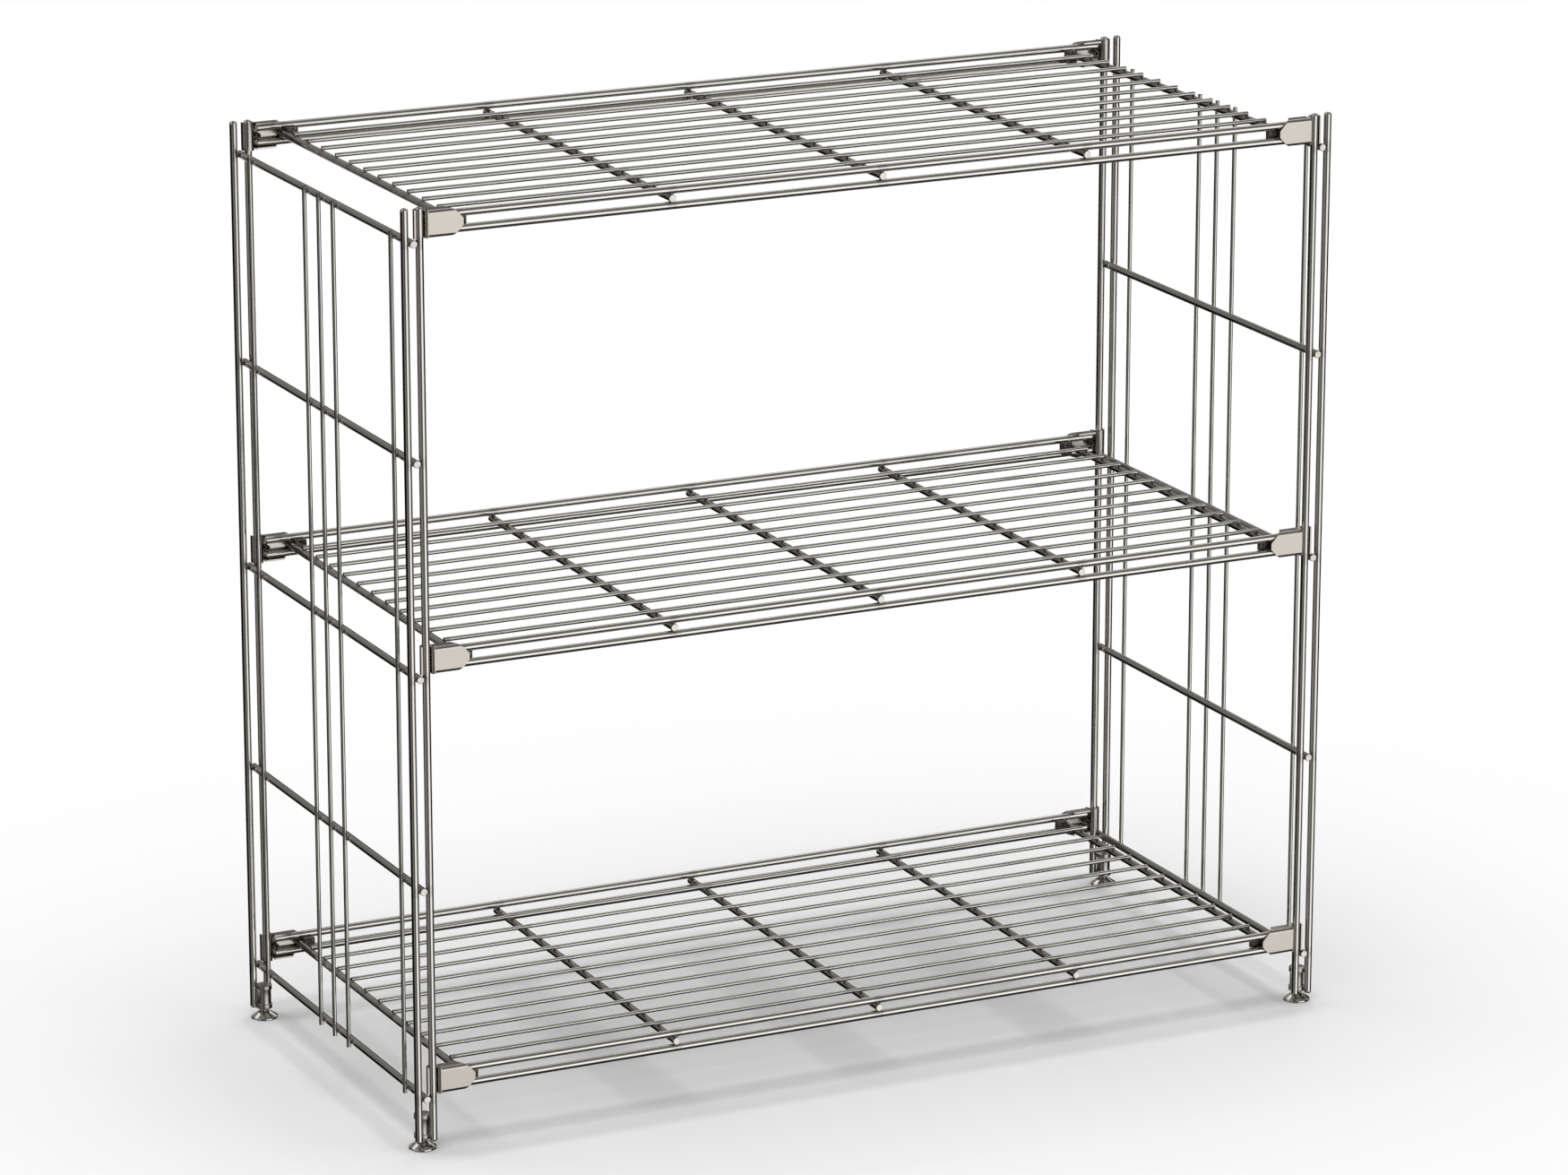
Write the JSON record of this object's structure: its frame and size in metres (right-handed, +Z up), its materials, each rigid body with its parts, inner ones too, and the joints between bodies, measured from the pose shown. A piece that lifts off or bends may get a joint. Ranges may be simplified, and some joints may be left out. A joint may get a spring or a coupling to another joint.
{
  "type": "cooling rack",
  "caption": "Open wire cooling rack: lift-off wire shelves hook onto paired posts of two welded end frames on screw feet.",
  "frame": {"origin": "on the floor, under the middle of the rack", "axes": "+X along the shelves to the right seen from the front, +Y from front to back, +Z up"},
  "size_m": [1.055, 0.4688, 0.98],
  "materials": {
    "rod_steel": "polished stainless bar",
    "wire_steel": "polished stainless wire",
    "bracket_sheet": "satin stainless sheet",
    "weld_steel": "dull weld-darkened steel",
    "foot_steel": "turned stainless"
  },
  "bodies": {
    "end_frames": {"left_front_outer_post": "rod_steel", "left_front_inner_post": "rod_steel", "left_rear_outer_post": "rod_steel", "left_rear_inner_post": "rod_steel", "right_front_outer_post": "rod_steel", "right_front_inner_post": "rod_steel", "right_rear_outer_post": "rod_steel", "right_rear_inner_post": "rod_steel", "left_crossbars": "rod_steel", "right_crossbars": "rod_steel", "left_side_wires": "wire_steel", "right_side_wires": "wire_steel", "left_foot_sleeves": "foot_steel", "right_foot_sleeves": "foot_steel"},
    "top_shelf": {"top_shelf_front_lower_rail": "rod_steel", "top_shelf_front_upper_rail": "rod_steel", "top_shelf_rear_lower_rail": "rod_steel", "top_shelf_rear_upper_rail": "rod_steel", "top_shelf_cross_rods": "rod_steel", "top_shelf_wires": "wire_steel", "top_shelf_weld_blocks": "weld_steel", "top_shelf_rivets": "weld_steel", "top_shelf_front_left_bracket": "bracket_sheet", "top_shelf_front_right_bracket": "bracket_sheet", "top_shelf_rear_left_bracket": "bracket_sheet", "top_shelf_rear_right_bracket": "bracket_sheet"},
    "middle_shelf": {"middle_shelf_front_lower_rail": "rod_steel", "middle_shelf_front_upper_rail": "rod_steel", "middle_shelf_rear_lower_rail": "rod_steel", "middle_shelf_rear_upper_rail": "rod_steel", "middle_shelf_cross_rods": "rod_steel", "middle_shelf_wires": "wire_steel", "middle_shelf_weld_blocks": "weld_steel", "middle_shelf_rivets": "weld_steel", "middle_shelf_front_left_bracket": "bracket_sheet", "middle_shelf_front_right_bracket": "bracket_sheet", "middle_shelf_rear_left_bracket": "bracket_sheet", "middle_shelf_rear_right_bracket": "bracket_sheet"},
    "bottom_shelf": {"bottom_shelf_front_lower_rail": "rod_steel", "bottom_shelf_front_upper_rail": "rod_steel", "bottom_shelf_rear_lower_rail": "rod_steel", "bottom_shelf_rear_upper_rail": "rod_steel", "bottom_shelf_cross_rods": "rod_steel", "bottom_shelf_wires": "wire_steel", "bottom_shelf_weld_blocks": "weld_steel", "bottom_shelf_rivets": "weld_steel", "bottom_shelf_front_left_bracket": "bracket_sheet", "bottom_shelf_front_right_bracket": "bracket_sheet", "bottom_shelf_rear_left_bracket": "bracket_sheet", "bottom_shelf_rear_right_bracket": "bracket_sheet"},
    "front_left_foot": {"front_left_foot_stud": "foot_steel", "front_left_foot_pad": "foot_steel"},
    "front_right_foot": {"front_right_foot_stud": "foot_steel", "front_right_foot_pad": "foot_steel"},
    "rear_left_foot": {"rear_left_foot_stud": "foot_steel", "rear_left_foot_pad": "foot_steel"},
    "rear_right_foot": {"rear_right_foot_stud": "foot_steel", "rear_right_foot_pad": "foot_steel"}
  },
  "joints": [
    {"name": "top_shelf_lift", "type": "slide", "parent": "end_frames", "child": "top_shelf", "axis": [0, 0, 1], "range_m": [0, 0.06]},
    {"name": "middle_shelf_lift", "type": "slide", "parent": "end_frames", "child": "middle_shelf", "axis": [0, 0, 1], "range_m": [0, 0.1835]},
    {"name": "bottom_shelf_lift", "type": "slide", "parent": "end_frames", "child": "bottom_shelf", "axis": [0, 0, 1], "range_m": [0, 0.1835]},
    {"name": "front_left_foot_screw", "type": "slide", "parent": "end_frames", "child": "front_left_foot", "axis": [0, 0, 1], "range_m": [-0.012, 0]},
    {"name": "front_right_foot_screw", "type": "slide", "parent": "end_frames", "child": "front_right_foot", "axis": [0, 0, 1], "range_m": [-0.012, 0]},
    {"name": "rear_left_foot_screw", "type": "slide", "parent": "end_frames", "child": "rear_left_foot", "axis": [0, 0, 1], "range_m": [-0.012, 0]},
    {"name": "rear_right_foot_screw", "type": "slide", "parent": "end_frames", "child": "rear_right_foot", "axis": [0, 0, 1], "range_m": [-0.012, 0]}
  ]
}
